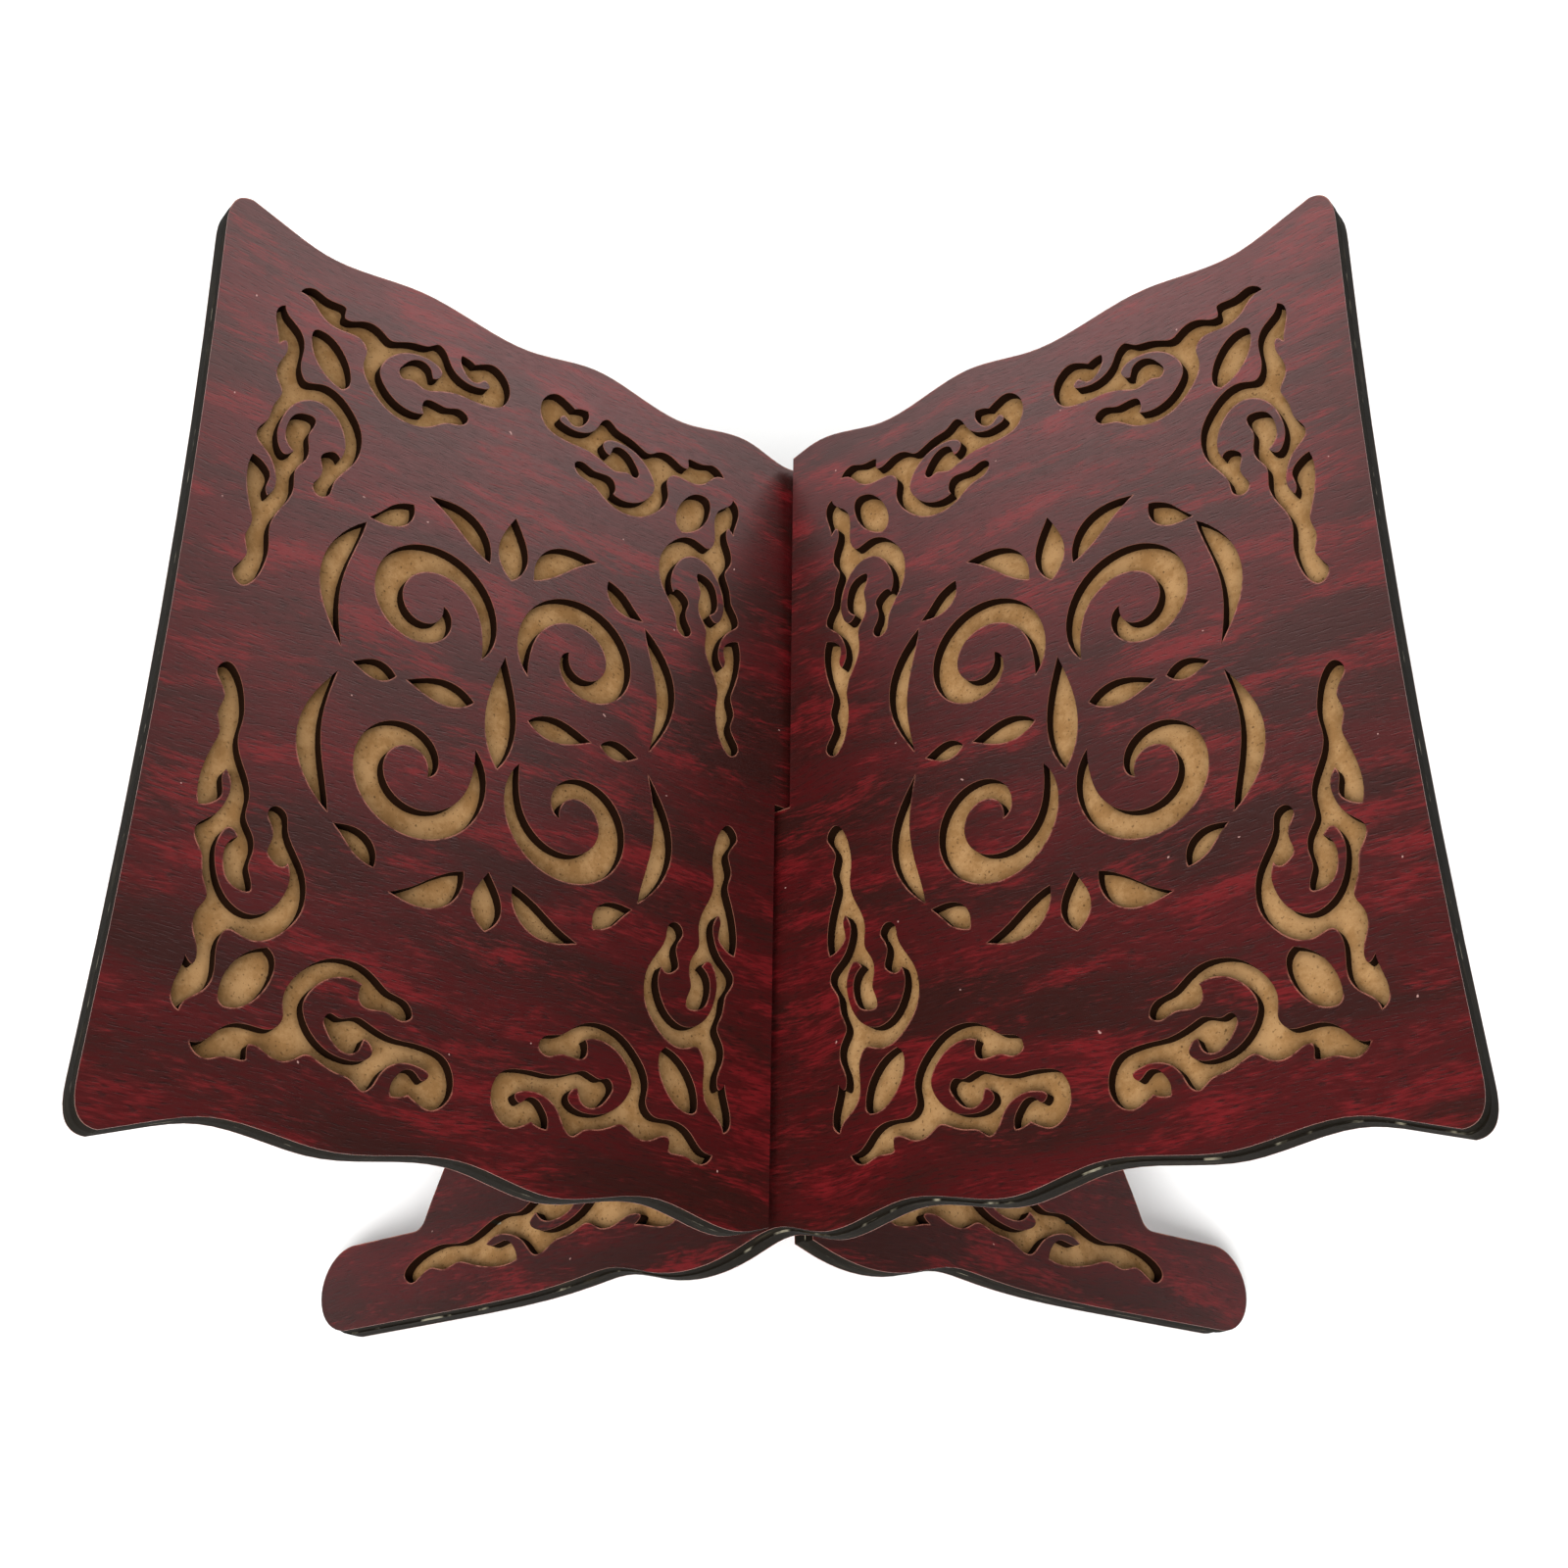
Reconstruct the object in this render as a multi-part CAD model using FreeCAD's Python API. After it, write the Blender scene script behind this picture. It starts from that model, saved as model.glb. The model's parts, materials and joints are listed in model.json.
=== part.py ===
"""Knock-down book stand of two slotted, fretted boards that cross in an X.

Frame: +X to the right, +Y to the back along the spine, +Z up, millimetres.
Origin: on the floor, midway between the feet, under the spine.
Each board is one leaf and, through the spine, the opposite pair of feet. A board
is built flat with x = 0 on the spine, the leaf at +x, the feet at -x and its show
face at z = 0, and is then turned to its lean. Both boards are the same panel: the
left one is the right one turned half way round the vertical.
"""
import FreeCAD, Part
import math
import os

# ---------------------------------------------------------------- sizes (mm, degrees)
LEAF_REACH = 159.6        # spine to outer edge of a leaf, along the show face
LEG_REACH = 155.0         # spine to the tip of a foot, along the show face
HALF_DEPTH = 107.0        # mean half width of a board along the spine
LEAN = 37.0               # slope of each board above the floor in the open pose
FRET_PLY = 2.8            # pierced face sheet
BACKING_PLY = 3.8         # solid sheet glued behind it
FOIL = 0.2                # printed wood grain foil on each outer face
SLOT_PLAY = 0.32          # gap between slot edge and the other board, each side
SLOT_FLARE = 2.6          # extra slot width at its mouth
SLOT_END_PLAY = 0.8       # gap left where the two slots meet at mid depth
BACKING_SLIP = 0.4        # the backing was glued this much off, away from the slot's mouth
FOOT_WIDTH = 22.4         # width of each foot bar
FOOT_LENGTH = 37.0        # free length of the foot bar beyond the arch
ARCH_RISE = 24.0          # height of the arch above the foot bars, along the board
OVAL_INSET_X = 29.3       # corner oval to the spine and to the outer edge
OVAL_INSET_Y = 30.0       # corner oval to the mean front or back edge
REST_LENGTH = 50.0        # plain strip of a leaf that a book's cover lies on
REST_WIDTH = 9.0
REST_INSET = 45.5         # middle of that strip to the mean front edge
LEG_FRET_SCALE = 1.2      # size of the feet's fretwork against the leaf's long sprig
LEG_FRET_START = 30.5     # spine to the tip of the feet's fretwork
LEG_FRET_INSET = 11.4     # tip of the feet's fretwork to the mean edge

THICKNESS = 2 * FOIL + FRET_PLY + BACKING_PLY
# A slot in a sheet this thick lets the other board lean to LEAN and no flatter.
SLOT_ROOT_WIDTH = THICKNESS / math.tan(math.radians(LEAN)) + 2 * SLOT_PLAY
# The two mid planes cross half a sheet below the show faces.
SLOT_CENTRE = -0.5 * THICKNESS * math.tan(math.radians(LEAN))
FOOT_INNER = HALF_DEPTH + 2.4 - FOOT_WIDTH

# The drawings below were laid out for a leaf of this size; they stretch with it.
DRAWN_REACH = 159.6
DRAWN_DEPTH = 107.0
STRETCH_X = LEAF_REACH / DRAWN_REACH
STRETCH_Y = HALF_DEPTH / DRAWN_DEPTH

# ------------------------------------------------------------- drawings of the fretwork
# Drawn about the corner oval: first number inward from the outer edge, second inward
# from the front or back edge. Each list is one smooth stretch between sharp corners.
SHORT_SPRIG = [
    [(-9.9, -15.4), (-8.3, -17.5), (-6.5, -18.1), (-3.8, -17.2), (-0.8, -16.9),
     (1.5, -16.6), (1.5, -14.9), (1.7, -13.5)],
    [(1.7, -13.5), (3.6, -13.6), (5.9, -14.8), (8.6, -15.4), (11.2, -14.5), (13.6, -13.0),
     (16.9, -14.1), (20.5, -15.4), (23.6, -16.2), (26.3, -17.9), (28.2, -16.5),
     (29.4, -14.1), (31.3, -11.7), (34.3, -10.3), (38.2, -10.4), (40.4, -11.8),
     (39.2, -13.1), (38.0, -12.3), (36.8, -11.4), (35.2, -11.5), (33.4, -13.1),
     (32.2, -15.5), (32.4, -17.7)],
    [(32.4, -17.7), (34.0, -17.6), (36.2, -16.7)],
    [(36.2, -16.7), (38.5, -18.1), (41.3, -18.9), (44.2, -17.3), (46.0, -13.8),
     (45.6, -9.9), (43.6, -7.1), (40.0, -5.9), (36.0, -5.6), (32.3, -5.6), (28.6, -4.7),
     (26.0, -3.6), (23.8, -2.9), (21.6, -3.5), (19.6, -3.9), (17.7, -3.4),
     (16.6, -4.6), (17.4, -7.3), (20.0, -10.2), (22.6, -10.9), (24.4, -9.9),
     (25.0, -8.6), (25.4, -7.2)],
    [(25.4, -7.2), (27.0, -8.1), (27.5, -9.9), (25.6, -11.7), (22.0, -12.2),
     (18.3, -11.4), (15.1, -9.3), (12.7, -6.2), (11.8, -2.6), (13.3, 0.8), (16.3, 3.6),
     (20.2, 4.9), (23.9, 4.2)],
    [(23.9, 4.2), (23.3, 2.1), (24.2, -0.1), (26.6, -0.6), (29.8, -0.4), (33.4, -1.5),
     (35.4, -0.2), (34.3, 2.6), (30.2, 4.0), (27.2, 6.1), (23.6, 8.2), (19.4, 8.7),
     (15.0, 7.5), (10.8, 4.1), (8.2, 0.3), (7.5, -3.4), (7.9, -6.9), (6.2, -9.3),
     (2.0, -9.6), (-1.6, -9.9), (-4.1, -11.4), (-6.2, -13.8), (-9.9, -15.4)],
]
LONG_SPRIG = [
    [(-12.9, -9.8), (-11.4, -7.0), (-9.0, -5.0), (-7.4, -2.2), (-7.2, 2.0), (-7.2, 5.9),
     (-5.6, 8.8), (-1.8, 7.9), (2.2, 8.4), (6.2, 11.7), (8.9, 16.2), (9.5, 20.6),
     (8.4, 25.4), (5.6, 30.0), (3.9, 33.9), (3.1, 37.1), (0.8, 38.0), (-0.7, 36.0),
     (0.5, 33.3), (0.9, 30.2), (0.3, 27.4), (1.7, 25.6), (3.4, 24.9), (4.9, 26.1)],
    [(4.9, 26.1), (5.7, 22.6), (4.6, 18.2), (2.2, 14.8), (-1.6, 13.1), (-5.6, 14.4),
     (-8.6, 17.9), (-10.2, 22.7), (-10.2, 27.3), (-8.4, 30.4), (-6.2, 28.9)],
    [(-6.2, 28.9), (-8.4, 26.2), (-8.4, 22.2), (-6.9, 18.9), (-4.6, 17.7), (-2.3, 17.9),
     (-2.3, 20.3), (-3.2, 22.9), (-2.7, 26.8), (-3.3, 30.2), (-5.1, 33.4), (-5.0, 38.2),
     (-6.1, 42.6), (-8.2, 46.9), (-9.1, 50.9), (-8.6, 55.8), (-9.1, 60.4), (-10.9, 65.3),
     (-13.4, 67.4), (-15.6, 65.0), (-14.3, 61.9), (-13.2, 59.2), (-14.1, 55.2),
     (-13.2, 51.3), (-14.2, 47.0), (-15.5, 42.0), (-15.9, 37.2), (-15.2, 33.6)],
    [(-15.2, 33.6), (-12.6, 34.7), (-10.7, 37.3), (-11.2, 40.9), (-10.6, 42.9)],
    [(-10.6, 42.9), (-9.2, 39.9), (-9.7, 35.9), (-12.0, 31.9), (-15.1, 28.3),
     (-14.5, 25.7), (-13.0, 23.2), (-12.2, 18.8), (-10.8, 14.3), (-12.4, 10.9),
     (-12.3, 6.6), (-11.0, 2.6), (-11.4, 0.2), (-13.2, 1.6)],
    [(-13.2, 1.6), (-13.7, -1.2), (-14.7, -4.9), (-14.5, -8.2), (-12.9, -9.8)],
]
OVAL = [
    [(-4.3, -7.0), (-1.3, -6.6), (2.3, -3.5), (4.6, 1.2), (4.6, 5.4), (3.0, 7.1)],
    [(3.0, 7.1), (-0.9, 5.2), (-4.2, 1.3), (-5.7, -3.4), (-5.2, -6.4), (-4.3, -7.0)],
]
# Medallion about its own centre, right half; the left half mirrors it.
# A volute is (centre x, y, first and last radius, first and last angle, width).
VOLUTES = [(20.5, 21.0, 17.0, 4.0, 212.0, -200.0, 7.2),
           (20.5, -20.5, 17.5, 4.0, -212.0, 200.0, 7.2)]
# A leaf is (root x, y, tip x, y, width, sideways bend).
LEAVES = [(37.5, 37.0, 40.0, 3.0, 5.6, 5.5), (38.5, -37.0, 40.0, -3.0, 5.6, -5.5),
          (6.0, 38.5, 23.0, 50.5, 6.6, 3.0), (26.5, 46.5, 37.0, 38.5, 5.4, -1.5),
          (6.0, -41.5, 23.0, -51.0, 6.6, -3.0), (27.0, -46.5, 37.0, -39.0, 5.4, 1.5),
          (7.0, 0.3, 24.0, 0.3, 6.4, 0.0), (26.5, 0.3, 37.0, 0.3, 5.0, 0.0)]
# A drop stands on the middle line: (low end, high end, width).
DROPS = [(-54.0, -40.0, 7.4), (-14.5, 15.0, 8.0), (36.0, 54.0, 8.0)]


# ------------------------------------------------------------------------ helpers
def vector(x, y, z=0.0):
    return FreeCAD.Vector(x, y, z)


def curve(points):
    """A straight edge through two points, or one smooth curve through more."""
    places = [vector(x, y) for x, y in points]
    if len(places) == 2:
        return Part.LineSegment(places[0], places[1]).toShape()
    spline = Part.BSplineCurve()
    spline.interpolate(places)
    return spline.toShape()


def arc(first, middle, last):
    return Part.Arc(vector(*first), vector(*middle), vector(*last)).toShape()


def panel(edges, bottom, top):
    """A flat sheet of this outline between two heights."""
    face = Part.Face(Part.Wire(edges))
    solid = face.extrude(vector(0, 0, top - bottom))
    solid.translate(vector(0, 0, bottom))
    return solid


def fret(stretches, place):
    """Outline edges of one piece of fretwork, each point put in place."""
    return [curve([place(a, b) for a, b in stretch]) for stretch in stretches]


# -------------------------------------------------------------- outline of a board
def half_edge(side):
    """Front (side -1) or back (side +1) edge, from the foot to the leaf's horn."""
    leg = LEG_REACH / 155.0
    leaf = STRETCH_X
    run = [(-143 * leg, 2.4), (-124 * leg, 2.5), (-98 * leg, 2.6), (-75 * leg, 2.0),
           (-60 * leg, 0.5), (-51 * leg, -0.2), (-38 * leg, 2.9), (-27 * leg, 4.0),
           (-13 * leg, 1.3), (-1, -1.8), (11 * leaf, 1.2), (33 * leaf, -2.3),
           (60 * leaf, 1.8), (80 * leaf, -1.8), (110 * leaf, 1.3), (135 * leaf, -0.7),
           (147 * leaf, 2.9), (154.5 * leaf, 5.6)]
    return [(x, side * (HALF_DEPTH + rise)) for x, rise in run]


def horn(side):
    return [(154.5 * STRETCH_X, side * (HALF_DEPTH + 5.6)),
            (LEAF_REACH - 1.6, side * (HALF_DEPTH + 4.2)),
            (LEAF_REACH + 0.1, side * (HALF_DEPTH - 0.6)),
            (LEAF_REACH, side * (HALF_DEPTH - 8.0))]


def foot(side):
    """Rounded foot tip, the bar's inner edge and the corner into the arch."""
    outer = side * (HALF_DEPTH + 2.4)
    inner = side * FOOT_INNER
    start = -143 * LEG_REACH / 155.0
    tip = arc((start, outer), (-LEG_REACH, 0.5 * (outer + inner)), (start, inner))
    root = -(LEG_REACH - FOOT_LENGTH)
    bar = curve([(start, inner), (root - 3.0, inner)])
    corner = arc((root - 3.0, inner), (root - 0.6, inner - side * 0.7),
                 (root + 0.9, inner - side * 2.6))
    return [tip, bar, corner]


def arch():
    """Scalloped arch between the two feet, from the front foot to the back one."""
    root = -(LEG_REACH - FOOT_LENGTH)
    y0 = FOOT_INNER
    half = [(root + 0.9, 2.6 - y0), (root + 0.30 * ARCH_RISE, -0.81 * y0),
            (root + 0.62 * ARCH_RISE, -0.61 * y0), (root + 0.76 * ARCH_RISE, -0.42 * y0),
            (root + 0.68 * ARCH_RISE, -0.25 * y0)]
    centre = [(root + 0.68 * ARCH_RISE, -0.25 * y0), (root + ARCH_RISE, 0.0),
              (root + 0.68 * ARCH_RISE, 0.25 * y0)]
    back = [(x, -y) for x, y in reversed(half)]
    return [curve(half), arc(*centre), curve(back)]


def board_outline():
    front = curve(half_edge(-1))
    back = curve(half_edge(1))
    waist = arc((LEAF_REACH, -(HALF_DEPTH - 8.0)), (LEAF_REACH - 2.2, 0.0),
                (LEAF_REACH, HALF_DEPTH - 8.0))
    edges = [front, curve(horn(-1)), waist, curve(horn(1)), back]
    edges += foot(1) + arch() + foot(-1)
    return Part.__sortEdges__(edges)


def slot(length):
    """Halving slot: flared, open at the back edge, its root at mid depth."""
    root = 0.5 * SLOT_ROOT_WIDTH
    mouth = root + 0.5 * SLOT_FLARE * length / HALF_DEPTH
    start = -0.5 * SLOT_END_PLAY
    corners = [(SLOT_CENTRE - root, start), (SLOT_CENTRE - mouth, start + length),
               (SLOT_CENTRE + mouth, start + length), (SLOT_CENTRE + root, start)]
    edges = [curve([corners[i], corners[(i + 1) % 4]]) for i in range(4)]
    return panel(edges, -THICKNESS - 1.0, 1.0)


# ----------------------------------------------------------------------- fretwork
def stroke_edges(centres, widths):
    """Two smooth sides of a tapered stroke that meet at its pointed ends."""
    left = [centres[0]]
    right = [centres[0]]
    for i in range(1, len(centres) - 1):
        ax, ay = centres[i - 1]
        bx, by = centres[i + 1]
        x, y = centres[i]
        length = math.hypot(bx - ax, by - ay)
        nx, ny = -(by - ay) / length, (bx - ax) / length
        half = 0.5 * widths[i]
        left.append((x + nx * half, y + ny * half))
        right.append((x - nx * half, y - ny * half))
    left.append(centres[-1])
    right.append(centres[-1])
    return [curve(left), curve(list(reversed(right)))]


def volute(x, y, first_radius, last_radius, first_angle, last_angle, width):
    """A scroll that winds inward, thickest on its outer half, pointed at both ends."""
    steps = 18
    centres = []
    widths = []
    for i in range(steps + 1):
        share = i / steps
        turn = math.radians(first_angle + (last_angle - first_angle) * share)
        radius = first_radius + (last_radius - first_radius) * share ** 0.9
        centres.append((x + radius * math.cos(turn), y + radius * math.sin(turn)))
        widths.append(width * math.sin(math.pi * share ** 0.75) ** 0.7)
    return stroke_edges(centres, widths)


def leaf(x0, y0, x1, y1, width, bend):
    """A pointed leaf from root to tip that bows sideways by the bend."""
    steps = 8
    length = math.hypot(x1 - x0, y1 - y0)
    nx, ny = -(y1 - y0) / length, (x1 - x0) / length
    centres = []
    widths = []
    for i in range(steps + 1):
        share = i / steps
        bow = bend * math.sin(math.pi * share)
        centres.append((x0 + (x1 - x0) * share + nx * bow, y0 + (y1 - y0) * share + ny * bow))
        widths.append(width * math.sin(math.pi * share ** 0.8))
    return stroke_edges(centres, widths)


def medallion_outlines():
    """Arabesque of mirrored volutes, leaves and drops, upright about its own centre."""
    kx, ky = STRETCH_X, STRETCH_Y
    round_size = min(kx, ky)
    outlines = []
    for x, y, first, last, start, stop, width in VOLUTES:
        radii = (first * round_size, last * round_size)
        outlines.append(volute(x * kx, y * ky, *radii, start, stop, width))
        outlines.append(volute(-x * kx, y * ky, *radii, 180 - start, 180 - stop, width))
    for x0, y0, x1, y1, width, bend in LEAVES:
        outlines.append(leaf(x0 * kx, y0 * ky, x1 * kx, y1 * ky, width, bend))
        outlines.append(leaf(-x0 * kx, y0 * ky, -x1 * kx, y1 * ky, width, -bend))
    for low, high, width in DROPS:
        outlines.append(leaf(0, low * ky, 0, high * ky, width, 0.0))
    return outlines


def cutters(upright):
    """Every piece of fretwork of one board, as solids through the face sheet."""
    centre = 0.5 * LEAF_REACH
    reach_x = centre - OVAL_INSET_X * STRETCH_X
    reach_y = HALF_DEPTH - OVAL_INSET_Y * STRETCH_Y
    solids = []
    for side_x in (-1, 1):
        for side_y in (-1, 1):
            def on_leaf(a, b, sx=side_x, sy=side_y):
                return (centre + sx * (reach_x - a * STRETCH_X), sy * (reach_y - b * STRETCH_Y))
            for drawing in (SHORT_SPRIG, LONG_SPRIG, OVAL):
                solids.append(panel(fret(drawing, on_leaf), -FOIL - FRET_PLY, 1.0))
    for side_y in (-1, 1):
        def on_leg(a, b, sy=side_y):
            along = LEG_FRET_START + LEG_FRET_SCALE * (b + 9.8)
            across = HALF_DEPTH - LEG_FRET_INSET - 0.8 + 2.4 - LEG_FRET_SCALE * (a + 12.9)
            return (-along * LEG_REACH / 155.0, sy * across)
        solids.append(panel(fret(LONG_SPRIG, on_leg), -FOIL - FRET_PLY, 1.0))
    for edges in medallion_outlines():
        stroke = panel(edges, -FOIL - FRET_PLY, 1.0)
        if not upright:
            stroke.rotate(vector(0, 0, 0), vector(0, 0, 1), 180)
        stroke.translate(vector(centre, 0, 0))
        solids.append(stroke)
    return solids


def rest_strip(side):
    """The plain strip of foil in front of the medallion, as a face of its own."""
    middle = 0.5 * LEAF_REACH
    y = side * (HALF_DEPTH - REST_INSET * STRETCH_Y)
    xs = (middle - 0.5 * REST_LENGTH, middle + 0.5 * REST_LENGTH)
    ys = (y - 0.5 * REST_WIDTH, y + 0.5 * REST_WIDTH)
    corners = [(xs[0], ys[0]), (xs[1], ys[0]), (xs[1], ys[1]), (xs[0], ys[1])]
    edges = [curve([corners[i], corners[(i + 1) % 4]]) for i in range(4)]
    return panel(edges, -FOIL, 0.0)


# -------------------------------------------------------------------------- board
def board(upright):
    """The four glued layers of a board, flat, by name."""
    outline = board_outline()
    cut_slot = slot(HALF_DEPTH + 12.0)
    frets = cutters(upright)
    face_top = -FOIL
    glue = -FOIL - FRET_PLY
    back = glue - BACKING_PLY
    layers = {
        "face_foil": panel(outline, face_top, 0.0).cut(frets + [cut_slot]),
        "fretted_ply": panel(outline, glue, face_top).cut(frets + [cut_slot]),
        "backing_ply": panel(outline, back, glue).cut(cut_slot),
        "back_foil": panel(outline, -THICKNESS, back).cut(cut_slot),
    }
    strip = layers["face_foil"].common(rest_strip(-1 if upright else 1))
    layers["face_foil"] = layers["face_foil"].cut(strip).fuse(strip)
    for name in ("backing_ply", "back_foil"):
        layers[name].translate(vector(0, -BACKING_SLIP, 0))
    return layers


def spine_height():
    """Height of the line where the two show faces cross, with the feet on the floor."""
    lean = math.radians(LEAN)
    return LEG_REACH * math.sin(lean) + THICKNESS * math.cos(lean)


def stand_up(shape, turned):
    """Lean a flat board, turn it to its side and lift it onto its feet."""
    shape.rotate(vector(0, 0, 0), vector(0, 1, 0), -LEAN)
    if turned:
        shape.rotate(vector(0, 0, 0), vector(0, 0, 1), 180)
    shape.translate(vector(0, 0, spine_height()))
    return shape


def main():
    os.makedirs("parts", exist_ok=True)
    for prefix, turned in (("right_leaf_board", False), ("left_leaf_board", True)):
        for name, layer in board(upright=not turned).items():
            placed = stand_up(layer, turned)
            solids = placed.Solids
            if len(solids) != 1 or not placed.isValid():
                print("check", prefix, name, len(solids), placed.isValid())
            solids[0].exportStep("parts/%s_%s.step" % (prefix, name))
            print(prefix, name, "volume", round(solids[0].Volume, 1), solids[0].BoundBox)
    print("slot root width", round(SLOT_ROOT_WIDTH, 2), "spine height", round(spine_height(), 2))
    print("axis height", round(spine_height() - 0.5 * THICKNESS / math.cos(math.radians(LEAN)), 3))


main()
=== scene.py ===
# %% [markdown]
# # A knock-down book stand in crimson wood-grain foil
# The stand is two identical pierced boards that slot through each other and cross
# in an X. Each board is a sandwich: a printed foil, a sheet cut through with
# scrollwork, a solid sheet behind it, and a second foil on the underside.
# The shapes come ready made from the CAD model. This script gives them their
# finishes, a floor, soft light and a camera.

import json
import math

import bpy
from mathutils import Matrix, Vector

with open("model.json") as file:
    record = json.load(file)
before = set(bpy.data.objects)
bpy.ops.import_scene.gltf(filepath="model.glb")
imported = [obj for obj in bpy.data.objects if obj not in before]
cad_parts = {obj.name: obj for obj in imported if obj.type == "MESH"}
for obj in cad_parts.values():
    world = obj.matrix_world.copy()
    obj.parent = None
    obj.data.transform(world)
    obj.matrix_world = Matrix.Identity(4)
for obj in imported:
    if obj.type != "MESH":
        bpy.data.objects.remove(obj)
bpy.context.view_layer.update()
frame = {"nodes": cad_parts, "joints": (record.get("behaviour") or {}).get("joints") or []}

# %% [markdown]
# Every finish follows a board, not the room: the wood grain runs up the slope of
# the leaf and the burnt edges follow the sheet's thickness. So the first thing
# needed is how each board lies: its lean, the height of the spine, and the three
# heights inside the sandwich. The spine height is worked out from the hinge of
# the CAD model, which lies half a sheet below the line where the top faces cross.

# %% How a board lies
MM = 0.001
LEAN = math.radians(37.0)
THICKNESS = 7.0 * MM
GLUE_LINE = -3.0 * MM
HINGE_HEIGHT = frame["joints"][0]["pos_m"][2]
SPINE_HEIGHT = HINGE_HEIGHT + 0.5 * THICKNESS / math.cos(LEAN)
HALF_TURN = math.pi
BOARDS = {"right": 0.0, "left": HALF_TURN}
print("spine height", round(SPINE_HEIGHT, 4))


def face_normal(turn):
    """The way a board's show face looks, for a board turned this far about the vertical."""
    sideways = -math.sin(LEAN) * math.cos(turn)
    return (sideways, 0.0, math.cos(LEAN))


# %% [markdown]
# A learner can read a shader best when each line says one thing. These helpers
# add a node, wire it up and hand back the socket that matters, so the recipes
# below read like sentences: a noise, stretched along the grain, cut to a range.

# %% Small tools for wiring nodes
def put(tree, kind, feeds=None, **settings):
    """Add a node, set its options, then link or fill the inputs named in feeds."""
    node = tree.nodes.new(kind)
    for name, value in settings.items():
        setattr(node, name, value)
    for name, value in (feeds or {}).items():
        if isinstance(value, bpy.types.NodeSocket):
            tree.links.new(value, node.inputs[name])
        else:
            node.inputs[name].default_value = value
    return node


def calc(tree, operation, first, second=0.0, clamp=False):
    node = put(tree, "ShaderNodeMath", {0: first, 1: second},
               operation=operation, use_clamp=clamp)
    return node.outputs[0]


def weighed(tree, mask, share):
    """A mask made weaker, so that the layer it lays on stays partly clear."""
    return calc(tree, "MULTIPLY", mask, share)


def stretched(tree, point, factors, shift=(0.0, 0.0, 0.0)):
    """The point scaled per axis, so that a round noise becomes long grain."""
    node = put(tree, "ShaderNodeVectorMath", {0: point, 1: factors, 2: shift},
               operation="MULTIPLY_ADD")
    return node.outputs["Vector"]


def noise(tree, point, detail=3.0, roughness=0.55, distortion=0.0):
    node = put(tree, "ShaderNodeTexNoise",
               {"Vector": point, "Scale": 1.0, "Detail": detail,
                "Roughness": roughness, "Distortion": distortion})
    return node.outputs["Fac"]


def between(tree, value, low, high, start=0.0, stop=1.0):
    """Zero below low, one above high, with a soft step in between."""
    node = put(tree, "ShaderNodeMapRange",
               {"Value": value, "From Min": low, "From Max": high,
                "To Min": start, "To Max": stop},
               interpolation_type="SMOOTHSTEP")
    return node.outputs["Result"]


def tinted(tree, amount, under, over):
    """Colour 'over' laid on colour 'under' by the mask 'amount'."""
    node = put(tree, "ShaderNodeMix", {0: amount, 6: under, 7: over}, data_type="RGBA")
    return node.outputs[2]


def colour(red, green, blue):
    """A paint-chip colour from 0 to 255 turned into the light values Blender mixes."""
    parts = []
    for part in (red, green, blue):
        share = part / 255
        parts.append(share / 12.92 if share < 0.04045 else ((share + 0.055) / 1.055) ** 2.4)
    return (*parts, 1.0)


def new_group(name, inputs, outputs):
    """A shader node group with named sockets: {name: kind}."""
    group = bpy.data.node_groups.new(name, "ShaderNodeTree")
    for socket, kind in inputs.items():
        group.interface.new_socket(socket, in_out="INPUT", socket_type=kind)
    for socket, kind in outputs.items():
        group.interface.new_socket(socket, in_out="OUTPUT", socket_type=kind)
    return group, group.nodes.new("NodeGroupInput"), group.nodes.new("NodeGroupOutput")


def use_group(tree, group, feeds):
    return put(tree, "ShaderNodeGroup", feeds, node_tree=group)


def new_material(name):
    """A material with its node tree and its Principled BSDF."""
    material = bpy.data.materials.new(name)
    material.use_nodes = True
    return material, material.node_tree, material.node_tree.nodes["Principled BSDF"]


FLOAT = "NodeSocketFloat"
VECTOR = "NodeSocketVector"

# %% [markdown]
# ## The camera
# The stand is seen from the front and well above, a little over half a metre
# away, so both open leaves and the crossing feet are in view. The three angles
# are a tilt down, a hair of roll and a hair of turn.

# %% Camera
CAMERA_PLACE = Vector((2.4, -223.5, 536.8)) * MM
CAMERA_TURN = tuple(math.radians(a) for a in (27.747, 0.234, 0.043))
FOCAL_LENGTH = 45.31
SENSOR_WIDTH = 36.0
NEAREST_SEEN = 10.0 * MM
lens = bpy.data.cameras.new("camera")
lens.lens = FOCAL_LENGTH
lens.sensor_width = SENSOR_WIDTH
lens.clip_start = NEAREST_SEEN
camera = bpy.data.objects.new("camera", lens)
camera.location = CAMERA_PLACE
camera.rotation_euler = CAMERA_TURN
bpy.context.scene.collection.objects.link(camera)
bpy.context.scene.camera = camera
print("camera", [round(v, 4) for v in camera.location])

# %% [markdown]
# ## Floor and light
# A white sweep keeps all attention on the stand. It ends a little way off and a
# pale backdrop takes over, which lights nothing: only the camera sees it bright.

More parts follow.
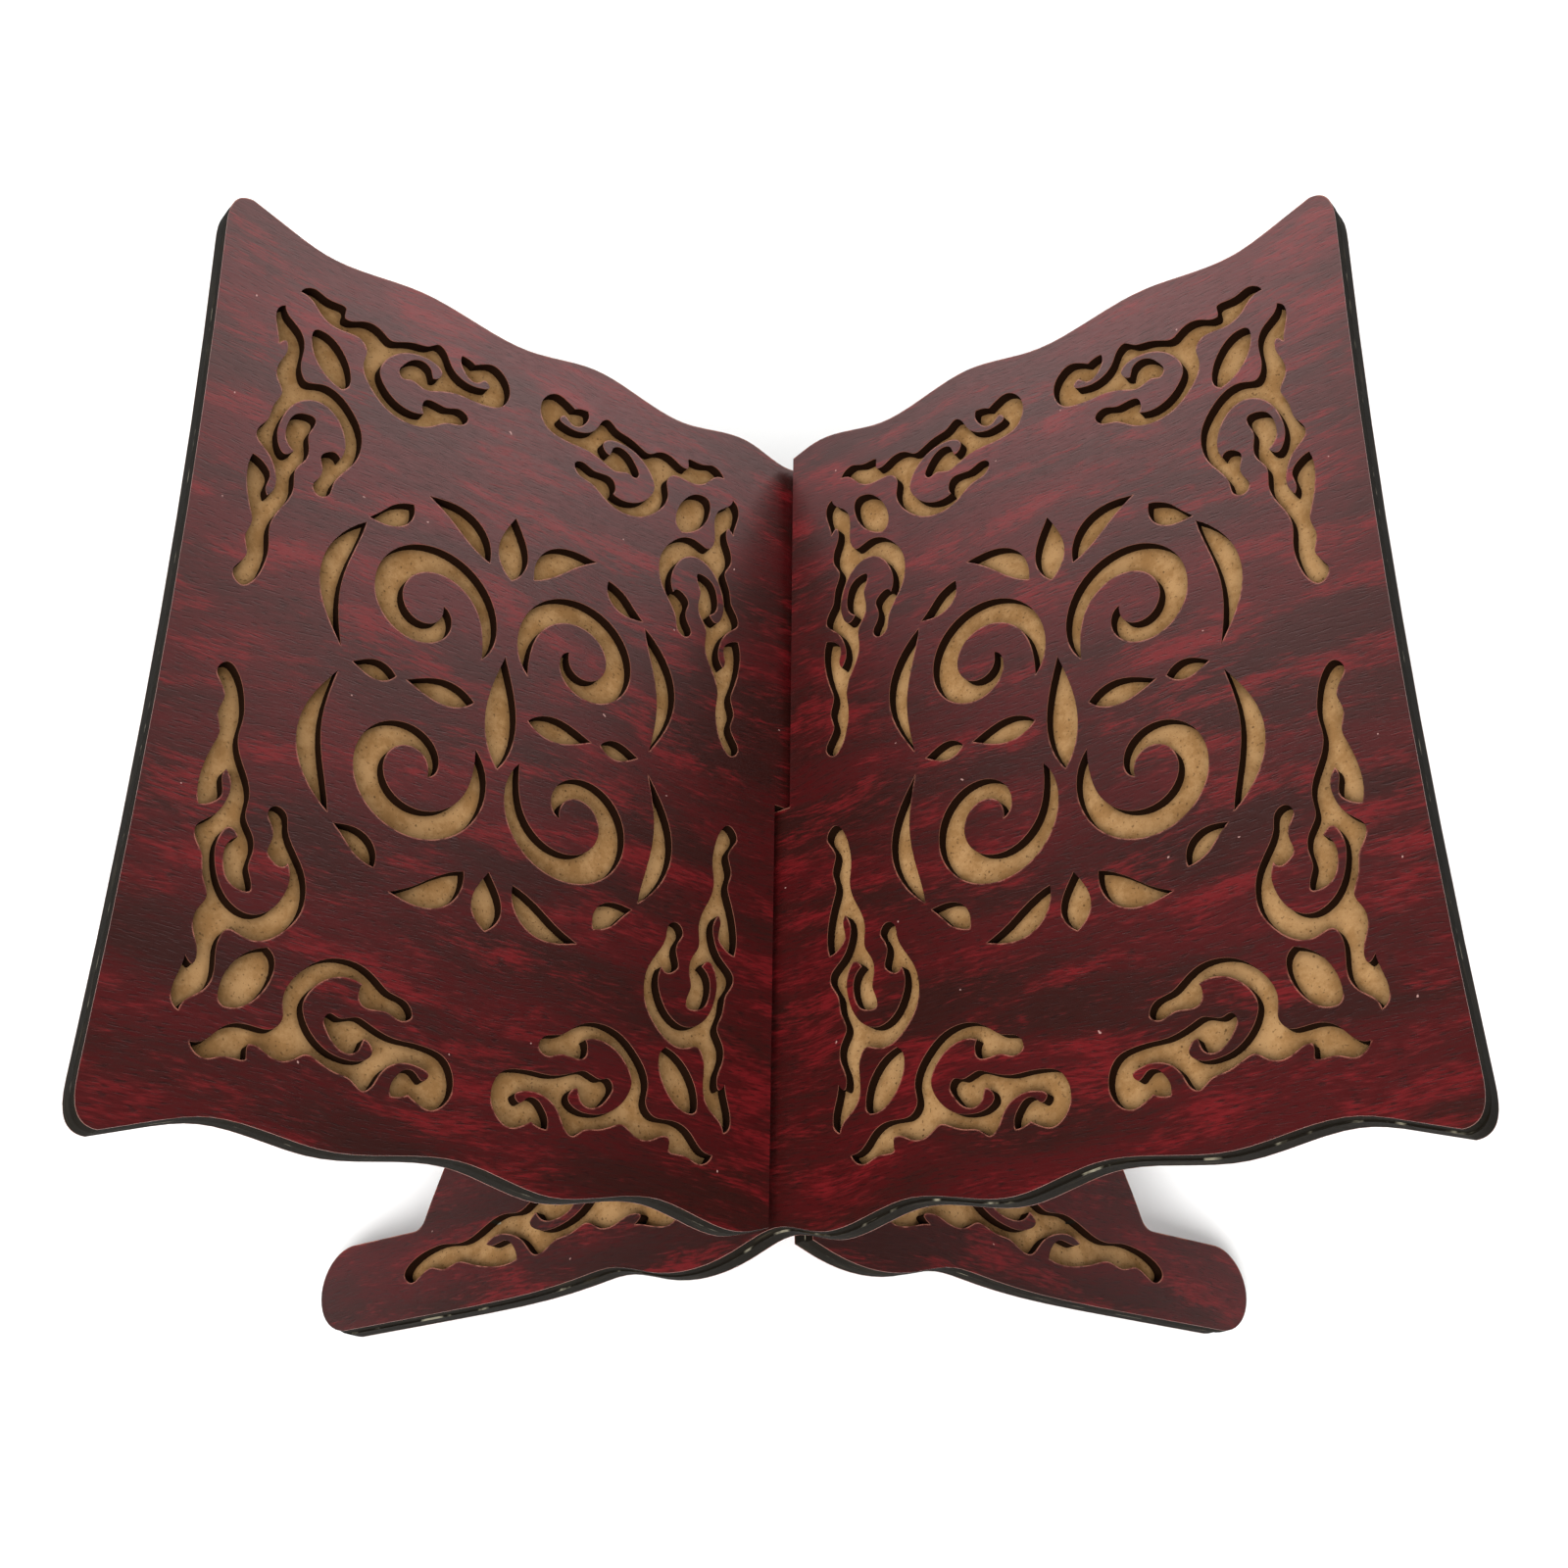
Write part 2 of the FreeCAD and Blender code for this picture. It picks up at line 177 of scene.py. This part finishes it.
# %% Floor
FLOOR_SIZE = 3.2
FLOOR_HEIGHT = -0.2 * MM
FLOOR_GREY = colour(249, 249, 248)
FLOOR_WHITE = colour(253, 253, 252)
FLOOR_MOTTLE = (9.0, 9.0, 9.0)
bpy.ops.mesh.primitive_plane_add(size=FLOOR_SIZE, location=(0, 0, FLOOR_HEIGHT))
floor = bpy.context.object
floor.name = "floor"
floor_paint, tree, shader = new_material("floor_paint")
place = put(tree, "ShaderNodeTexCoord").outputs["Object"]
mottle = noise(tree, stretched(tree, place, FLOOR_MOTTLE), detail=4.0)
tree.links.new(tinted(tree, mottle, FLOOR_GREY, FLOOR_WHITE), shader.inputs["Base Color"])
shader.inputs["Roughness"].default_value = 0.9
floor.data.materials.append(floor_paint)
print("floor", FLOOR_SIZE, "m wide")

# %% [markdown]
# The main light is a big soft panel in front, a little to the left, and a weaker
# one hangs overhead. Two low panels stand behind, left and right: the far halves
# of the leaves mirror them softly, which is what makes the foil look satin.
# The plain colour transform keeps the crimson as deep as it was mixed.

# %% Lights
STAND_MIDDLE = Vector((0.0, 0.0, 0.1))
FILL_GLOW = 0.12
BACKDROP_GLOW = 0.82
WHITE = (1.0, 1.0, 1.0, 1.0)
# name: place, width and height in metres, power in watts
PANELS = {
    "overhead": ((0.0, -0.30, 1.6), 1.7, 1.4, 12.0),
    "back_right": ((0.60, 1.04, 0.56), 1.0, 0.62, 7.2),
    "back_left": ((-0.56, 1.08, 0.58), 1.0, 0.62, 7.6),
    "front_left": ((-0.24, -1.05, 1.30), 1.3, 0.9, 34.0),
}


def light_panel(name, place, width, height, power):
    """A rectangular soft light that faces the middle of the stand."""
    data = bpy.data.lights.new(name, "AREA")
    data.shape = "RECTANGLE"
    data.size = width
    data.size_y = height
    data.energy = power
    panel = bpy.data.objects.new(name, data)
    panel.location = place
    panel.rotation_euler = (STAND_MIDDLE - Vector(place)).to_track_quat("-Z", "Y").to_euler()
    bpy.context.scene.collection.objects.link(panel)


for name, (place, width, height, power) in PANELS.items():
    light_panel(name, place, width, height, power)
room = bpy.data.worlds.new("room")
room.use_nodes = True
sky = room.node_tree
background = sky.nodes["Background"]
background.inputs["Color"].default_value = WHITE
seen = put(sky, "ShaderNodeLightPath").outputs["Is Camera Ray"]
sky.links.new(between(sky, seen, 0.0, 1.0, FILL_GLOW, BACKDROP_GLOW),
              background.inputs["Strength"])
bpy.context.scene.world = room
bpy.context.scene.view_settings.view_transform = "Standard"

# %% [markdown]
# ## Where a point is on its board
# One Mapping node set to "texture" undoes the board's placing: it lowers the
# board from the spine and lays it flat. After it, the first number runs from the
# spine out to the leaf's edge (the feet are negative), the second along the
# spine, and the third is the depth under the show face. Both boards use it, so
# their finishes line up with their own grain at any angle of the fold.

# %% Flat board coordinates
def flat_point(tree, turn):
    place = put(tree, "ShaderNodeTexCoord").outputs["Object"]
    node = put(tree, "ShaderNodeMapping",
               {"Vector": place, "Location": (0.0, 0.0, SPINE_HEIGHT),
                "Rotation": (0.0, -LEAN, turn), "Scale": (1.0, 1.0, 1.0)},
               vector_type="TEXTURE")
    return node.outputs["Vector"]


# %% [markdown]
# ## Printed grain
# The foil imitates rosewood. The print has four layers: broad smoky clouds that
# run up the slope, flames of clear red, thousands of short dark pores, and fine
# fibres that fray the edges of the rest. A little sway keeps the streaks from
# being ruled lines. The group gives each layer as a mask.
# Each stretch says how many times a noise repeats in a metre: up the slope, along
# the spine and through the sheet. So 11 makes a cloud about 90 mm long, and 62
# makes it 16 mm wide.

# %% Group: printed grain
SWAY_STRETCH = (16.0, 26.0, 1.0)
SWAY_REACH = (6.0 * MM, 11.0 * MM, 0.0)
FIBRE_STRETCH = (210.0, 1500.0, 30.0)
CLOUD_STRETCH = (11.0, 62.0, 8.0)
FLAME_STRETCH = (30.0, 120.0, 8.0)
PORE_STRETCH = (330.0, 2300.0, 40.0)
FLAME_START = (5.1, 2.7, 0.0)
PORE_START = (1.3, 7.9, 0.0)
CLOUD_FRAY = 0.42
FLAME_FRAY = 0.55
grain, ins, outs = new_group(
    "printed_grain", {"Point": VECTOR, "Shift": VECTOR},
    {"Clouds": FLOAT, "Flames": FLOAT, "Pores": FLOAT, "Fibres": FLOAT})
moved = put(grain, "ShaderNodeVectorMath",
            {0: ins.outputs["Point"], 1: ins.outputs["Shift"]}).outputs["Vector"]
sway = put(grain, "ShaderNodeTexNoise",
           {"Vector": stretched(grain, moved, SWAY_STRETCH), "Scale": 1.0,
            "Detail": 2.0, "Roughness": 0.5}).outputs["Color"]
sway = put(grain, "ShaderNodeVectorMath", {0: sway, 1: (0.5, 0.5, 0.5)},
           operation="SUBTRACT").outputs["Vector"]
wavy = put(grain, "ShaderNodeVectorMath", {0: sway, 1: SWAY_REACH, 2: moved},
           operation="MULTIPLY_ADD").outputs["Vector"]
fibres = noise(grain, stretched(grain, wavy, FIBRE_STRETCH), detail=3.0, roughness=0.65)
broad = noise(grain, stretched(grain, wavy, CLOUD_STRETCH), detail=3.0, roughness=0.55)
frayed_cloud = calc(grain, "ADD", broad, weighed(grain, fibres, CLOUD_FRAY))
flame = noise(grain, stretched(grain, wavy, FLAME_STRETCH, FLAME_START),
              detail=4.0, roughness=0.65)
frayed_flame = calc(grain, "ADD", flame, weighed(grain, fibres, FLAME_FRAY))
pores = noise(grain, stretched(grain, wavy, PORE_STRETCH, PORE_START),
              detail=1.5, roughness=0.5)
grain.links.new(between(grain, frayed_cloud, 0.83, 0.58), outs.inputs["Clouds"])
grain.links.new(between(grain, frayed_flame, 0.76, 0.98), outs.inputs["Flames"])
grain.links.new(between(grain, pores, 0.54, 0.70), outs.inputs["Pores"])
grain.links.new(fibres, outs.inputs["Fibres"])
print("group", grain.name, "with", len(grain.nodes), "nodes")

# %% [markdown]
# ## Specks and nicks
# Handling leaves pale nicks in the foil, no bigger than a pinhead, and the raw
# board shows dark specks. A Voronoi pattern drops one dot in each cell of a
# honeycomb; keeping only the cells whose random colour is low makes them sparse,
# and a jitter roughens each dot's outline.

# %% Group: nicks
JITTER_SCALE = 9.0
JITTER_REACH = (0.10, 0.10, 0.10)
SOFT_CORE = 0.55
nicks, ins, outs = new_group(
    "nicks", {"Point": VECTOR, "Cells": FLOAT, "Size": FLOAT, "Share": FLOAT},
    {"Mask": FLOAT})
scaled = put(nicks, "ShaderNodeVectorMath",
             {0: ins.outputs["Point"], "Scale": ins.outputs["Cells"]},
             operation="SCALE").outputs["Vector"]
jitter = put(nicks, "ShaderNodeTexNoise",
             {"Vector": scaled, "Scale": JITTER_SCALE, "Detail": 1.0}).outputs["Color"]
rough_spot = put(nicks, "ShaderNodeVectorMath", {0: jitter, 1: JITTER_REACH, 2: scaled},
                 operation="MULTIPLY_ADD").outputs["Vector"]
cells = put(nicks, "ShaderNodeTexVoronoi", {"Vector": rough_spot, "Scale": 1.0},
            voronoi_dimensions="2D")
chance = put(nicks, "ShaderNodeSeparateColor", {0: cells.outputs["Color"]}).outputs[0]
kept = calc(nicks, "LESS_THAN", chance, ins.outputs["Share"])
core = calc(nicks, "MULTIPLY", ins.outputs["Size"], SOFT_CORE)
inside = between(nicks, cells.outputs["Distance"], ins.outputs["Size"], core)
nicks.links.new(calc(nicks, "MULTIPLY", inside, kept), outs.inputs["Mask"])
print("group", nicks.name, "with", len(nicks.nodes), "nodes")

# %% [markdown]
# ## Cut edges
# Where the router cut the foil, the paper under the print shows as a thin pale
# line round every opening. The Bevel node bends the normal near a sharp edge;
# where that bent normal differs from the true one, there is an edge. The wall
# mask tells a face from the sheet's thickness, and the backward mask picks the
# edges that lean to the back, where a pale rim is laid as a painted highlight.

# %% Group: cut edge
cut_edge, ins, outs = new_group(
    "cut_edge", {"Width": FLOAT, "Board normal": VECTOR},
    {"Rim": FLOAT, "Wall": FLOAT, "Backward": FLOAT})
BEVEL_SAMPLES = 6
bent = put(cut_edge, "ShaderNodeBevel", {"Radius": ins.outputs["Width"]},
           samples=BEVEL_SAMPLES)
true_normal = put(cut_edge, "ShaderNodeNewGeometry").outputs["Normal"]
likeness = put(cut_edge, "ShaderNodeVectorMath",
               {0: bent.outputs["Normal"], 1: true_normal},
               operation="DOT_PRODUCT").outputs["Value"]
own_normal = put(cut_edge, "ShaderNodeTexCoord").outputs["Normal"]
facing = put(cut_edge, "ShaderNodeVectorMath",
             {0: own_normal, 1: ins.outputs["Board normal"]},
             operation="DOT_PRODUCT").outputs["Value"]
cut_edge.links.new(between(cut_edge, likeness, 0.985, 0.86), outs.inputs["Rim"])
cut_edge.links.new(between(cut_edge, calc(cut_edge, "ABSOLUTE", facing), 0.7, 0.4),
                   outs.inputs["Wall"])
backward = put(cut_edge, "ShaderNodeSeparateXYZ", {0: bent.outputs["Normal"]}).outputs["Y"]
cut_edge.links.new(between(cut_edge, backward, 0.02, 0.25), outs.inputs["Backward"])
print("group", cut_edge.name, "with", len(cut_edge.nodes), "nodes")

# %% [markdown]
# ## The foil
# Printed film over paper: crimson ink, smoky brown clouds, red flames and dark
# pores. It is satin, not glossy, so its roughness is moderate and wanders with
# the fibres, and the pores are pressed in very slightly with a Bump node. The
# film's own shine is tinted a little red, so its highlights stay rosy.

# %% Material: crimson foil
WINE = colour(62, 9, 11)
UMBER = colour(40, 13, 10)
SCARLET = colour(102, 16, 21)
PORE_INK = colour(25, 9, 8)
PALE_NICK = colour(176, 138, 130)
PAPER_EDGE_AND_HIGHLIGHT = colour(160, 102, 84)
FILM_SHINE = (1.0, 0.62, 0.60, 1.0)
NICK_CELLS = 60.0
NICK_SIZE = 0.016
NICK_SHARE = 0.22
RIM_WIDTH = 0.60 * MM
RIM_BREAKUP_STRETCH = (420.0, 420.0, 420.0)
PRINT_RELIEF = 0.05 * MM


def crimson_foil(name, turn, shift):
    """Rosewood print on a board turned this far, its grain slid along by the shift."""
    material, tree, shader = new_material(name)
    point = flat_point(tree, turn)
    layers = use_group(tree, grain, {"Point": point, "Shift": shift}).outputs
    ink = tinted(tree, layers["Clouds"], UMBER, WINE)
    ink = tinted(tree, weighed(tree, layers["Flames"], 0.85), ink, SCARLET)
    ink = tinted(tree, weighed(tree, layers["Pores"], 0.70), ink, PORE_INK)
    spots = use_group(tree, nicks, {"Point": point, "Cells": NICK_CELLS,
                                    "Size": NICK_SIZE, "Share": NICK_SHARE})
    ink = tinted(tree, weighed(tree, spots.outputs["Mask"], 0.8), ink, PALE_NICK)
    edge = use_group(tree, cut_edge, {"Width": RIM_WIDTH, "Board normal": face_normal(turn)})
    # Painted highlight: a pale rim on the edges that lean to the back, broken up raggedly by
    # noise; the foil's cut thickness gets the pale paper colour too.
    rim_breakup = noise(tree, stretched(tree, point, RIM_BREAKUP_STRETCH), detail=2.0)
    ragged = between(tree, rim_breakup, 0.34, 0.56, 0.15, 1.0)
    back_facing_rim = calc(tree, "MULTIPLY", edge.outputs["Rim"], edge.outputs["Backward"])
    painted_highlight_rim = calc(tree, "MULTIPLY", back_facing_rim, ragged)
    paper_edge_and_highlight = calc(tree, "MAXIMUM", painted_highlight_rim, weighed(tree, edge.outputs["Wall"], 0.6))
    tree.links.new(tinted(tree, paper_edge_and_highlight, ink, PAPER_EDGE_AND_HIGHLIGHT), shader.inputs["Base Color"])
    tree.links.new(between(tree, layers["Fibres"], 0.2, 0.8, 0.29, 0.40),
                   shader.inputs["Roughness"])
    shader.inputs["Specular IOR Level"].default_value = 0.5
    shader.inputs["Specular Tint"].default_value = FILM_SHINE
    relief = calc(tree, "SUBTRACT", layers["Fibres"], weighed(tree, layers["Pores"], 0.8))
    bump = put(tree, "ShaderNodeBump",
               {"Height": relief, "Strength": 0.35, "Distance": PRINT_RELIEF})
    tree.links.new(bump.outputs["Normal"], shader.inputs["Normal"])
    return material


# %% [markdown]
# ## The cut thickness of the sheets
# Inside the openings the cut walls are charred almost black; round the outside of
# the board they have been rubbed and have gathered dust, with scraps of dried
# glue along the line between the two sheets. Which is which follows from where a
# wall is on the flat board: the outside lies beyond the border that the
# scrollwork keeps to, and the rest is pocket.

# %% Colours of the cut thickness
EDGE_DARK = colour(21, 17, 11)
EDGE_DUST = colour(54, 47, 34)
GLUE = colour(168, 160, 138)
CHAR = colour(25, 11, 4)
BORDER_DEPTH = 103.0 * MM
BORDER_REACH = 152.0 * MM
ARCH_START = -92.0 * MM
ARCH_HALF = 89.0 * MM
FOOT_TIPS = -126.0 * MM
LAYER_STRETCH = (55.0, 55.0, 1100.0)
PATCH_STRETCH = (70.0, 70.0, 160.0)
PATCH_START = (3.0, 1.0, 0.0)
SCRAP_STRETCH = (130.0, 130.0, 300.0)
SEAM_OUTER = 0.22 * MM
SEAM_INNER = 0.06 * MM


def outside_mask(tree, point):
    """One on the outer edge of the board, zero on the walls of the openings."""
    parts = put(tree, "ShaderNodeSeparateXYZ", {0: point})
    out_from_spine = parts.outputs["X"]
    off_middle = calc(tree, "ABSOLUTE", parts.outputs["Y"])
    front_back = calc(tree, "GREATER_THAN", off_middle, BORDER_DEPTH)
    outer = calc(tree, "GREATER_THAN", out_from_spine, BORDER_REACH)
    in_arch = calc(tree, "MULTIPLY", calc(tree, "LESS_THAN", out_from_spine, ARCH_START),
                   calc(tree, "LESS_THAN", off_middle, ARCH_HALF))
    tips = calc(tree, "LESS_THAN", out_from_spine, FOOT_TIPS)
    return calc(tree, "MAXIMUM", calc(tree, "MAXIMUM", front_back, outer),
                calc(tree, "MAXIMUM", in_arch, tips))


def outer_edge(tree, point):
    """Dark board with dusty streaks and, on the glue line, scraps of dried glue."""
    along = noise(tree, stretched(tree, point, LAYER_STRETCH), detail=4.0, roughness=0.65)
    patch = noise(tree, stretched(tree, point, PATCH_STRETCH, PATCH_START), detail=3.0)
    dusty = calc(tree, "MULTIPLY", between(tree, along, 0.52, 0.70),
                 between(tree, patch, 0.45, 0.65))
    rubbed = tinted(tree, dusty, EDGE_DARK, EDGE_DUST)
    depth = put(tree, "ShaderNodeSeparateXYZ", {0: point}).outputs["Z"]
    off_line = calc(tree, "ABSOLUTE", calc(tree, "SUBTRACT", depth, GLUE_LINE))
    scraps = noise(tree, stretched(tree, point, SCRAP_STRETCH), detail=3.0)
    seam = calc(tree, "MULTIPLY", between(tree, off_line, SEAM_OUTER, SEAM_INNER),
                between(tree, scraps, 0.54, 0.66))
    return tinted(tree, weighed(tree, seam, 0.7), rubbed, GLUE)


# %% [markdown]
# ## Raw board in the openings
# Behind the fretwork lies bare fibreboard: tan, faintly mottled, with dark fibre
# specks. Beside the walls the tan is darkened as painted shade: an Ambient
# Occlusion node with a reach of about two millimetres finds those corners, and
# the painted shade follows them, broken up by noise so that it isn't an even line.

# %% Material: bare fibreboard
TAN = colour(140, 103, 62)
STRAW = colour(166, 129, 86)
SPECK = colour(78, 54, 32)
CORNER_SHADE = colour(84, 60, 36)
MOTTLE_STRETCH = (120.0, 120.0, 120.0)
FLECK_STRETCH = (1300.0, 1300.0, 1300.0)
SPECK_CELLS = 300.0
SPECK_SIZE = 0.10
SPECK_SHARE = 0.14
CORNER_SHADE_REACH = 2.2 * MM
CORNER_SHADE_SAMPLES = 8
SHADE_BREAKUP_STRETCH = (260.0, 260.0, 260.0)
SHADE_BREAKUP_SHARE = 0.28
BACKING_RIM = 0.25 * MM
FUZZ_STRETCH = (1400.0, 1400.0, 1400.0)
FUZZ_RELIEF = 0.08 * MM


def bare_board(name, turn):
    """Raw tan board that shows in the openings, with a dark outer edge."""
    material, tree, shader = new_material(name)
    point = flat_point(tree, turn)
    soft = noise(tree, stretched(tree, point, MOTTLE_STRETCH), detail=6.0, roughness=0.75)
    face = tinted(tree, between(tree, soft, 0.38, 0.62), TAN, STRAW)
    fleck = noise(tree, stretched(tree, point, FLECK_STRETCH), detail=1.0)
    face = tinted(tree, between(tree, fleck, 0.63, 0.72, 0.0, 0.6), face, SPECK)
    spots = use_group(tree, nicks, {"Point": point, "Cells": SPECK_CELLS,
                                    "Size": SPECK_SIZE, "Share": SPECK_SHARE})
    face = tinted(tree, weighed(tree, spots.outputs["Mask"], 0.75), face, SPECK)
    # Painted shade: the tan is darkened beside the pocket walls, where the AO node finds
    # corners.
    corner = put(tree, "ShaderNodeAmbientOcclusion", {"Distance": CORNER_SHADE_REACH},
                 samples=CORNER_SHADE_SAMPLES)
    shade_breakup = noise(tree, stretched(tree, point, SHADE_BREAKUP_STRETCH), detail=3.0)
    painted_corner_shade = between(tree, calc(tree, "ADD", corner.outputs["AO"],
                              weighed(tree, shade_breakup, SHADE_BREAKUP_SHARE)), 0.98, 0.66)
    face = tinted(tree, weighed(tree, painted_corner_shade, 0.55), face, CORNER_SHADE)
    edge = use_group(tree, cut_edge, {"Width": BACKING_RIM, "Board normal": face_normal(turn)})
    rim = calc(tree, "MAXIMUM", edge.outputs["Wall"], outside_mask(tree, point))
    tree.links.new(tinted(tree, rim, face, outer_edge(tree, point)),
                   shader.inputs["Base Color"])
    shader.inputs["Roughness"].default_value = 0.85
    shader.inputs["Specular IOR Level"].default_value = 0.1
    fuzz = noise(tree, stretched(tree, point, FUZZ_STRETCH), detail=3.0)
    bump = put(tree, "ShaderNodeBump",
               {"Height": fuzz, "Strength": 0.5, "Distance": FUZZ_RELIEF})
    tree.links.new(bump.outputs["Normal"], shader.inputs["Normal"])
    return material


# %% [markdown]
# ## The pierced sheet
# Only its cut walls show: charred in the openings, dusty round the outside. Faint
# ribs across the wall are the marks of the cutter.

# %% Material: pierced sheet
RIB_STRETCH = (1100.0, 1100.0, 90.0)
RIB_RELIEF = 0.1 * MM


def pierced_sheet(name, turn):
    """Charred walls in the openings and a dusty edge round the board."""
    material, tree, shader = new_material(name)
    point = flat_point(tree, turn)
    pocket = calc(tree, "SUBTRACT", 1.0, outside_mask(tree, point))
    tree.links.new(tinted(tree, pocket, outer_edge(tree, point), CHAR),
                   shader.inputs["Base Color"])
    shader.inputs["Roughness"].default_value = 0.8
    shader.inputs["Specular IOR Level"].default_value = 0.05
    ribs = noise(tree, stretched(tree, point, RIB_STRETCH), detail=3.0)
    bump = put(tree, "ShaderNodeBump",
               {"Height": ribs, "Strength": 0.5, "Distance": RIB_RELIEF})
    tree.links.new(bump.outputs["Normal"], shader.inputs["Normal"])
    return material


# %% [markdown]
# ## Dress the boards
# Each board gets its own set, because the mapping must know which way the board
# is turned. The grain is shifted between the foils, as two pieces cut from
# different places of one roll.

# %% Assign the finishes
GRAIN_SHIFTS = {("right", "face_foil"): (0.0, 0.0, 0.0),
                ("left", "face_foil"): (1.37, 0.42, 0.0),
                ("right", "back_foil"): (2.71, 0.91, 0.0),
                ("left", "back_foil"): (4.05, 1.63, 0.0)}


def finish_for(side, layer):
    name = f"{side}_{layer}"
    turn = BOARDS[side]
    if layer in ("face_foil", "back_foil"):
        return crimson_foil(name, turn, GRAIN_SHIFTS[side, layer])
    if layer == "backing_ply":
        return bare_board(name, turn)
    return pierced_sheet(name, turn)


for side in BOARDS:
    for layer in ("face_foil", "fretted_ply", "backing_ply", "back_foil"):
        piece = frame["nodes"][f"{side}_leaf_board_{layer}"]
        finish = finish_for(side, layer)
        for slot in piece.material_slots:
            slot.material = finish
        print(piece.name, "now wears", finish.name)
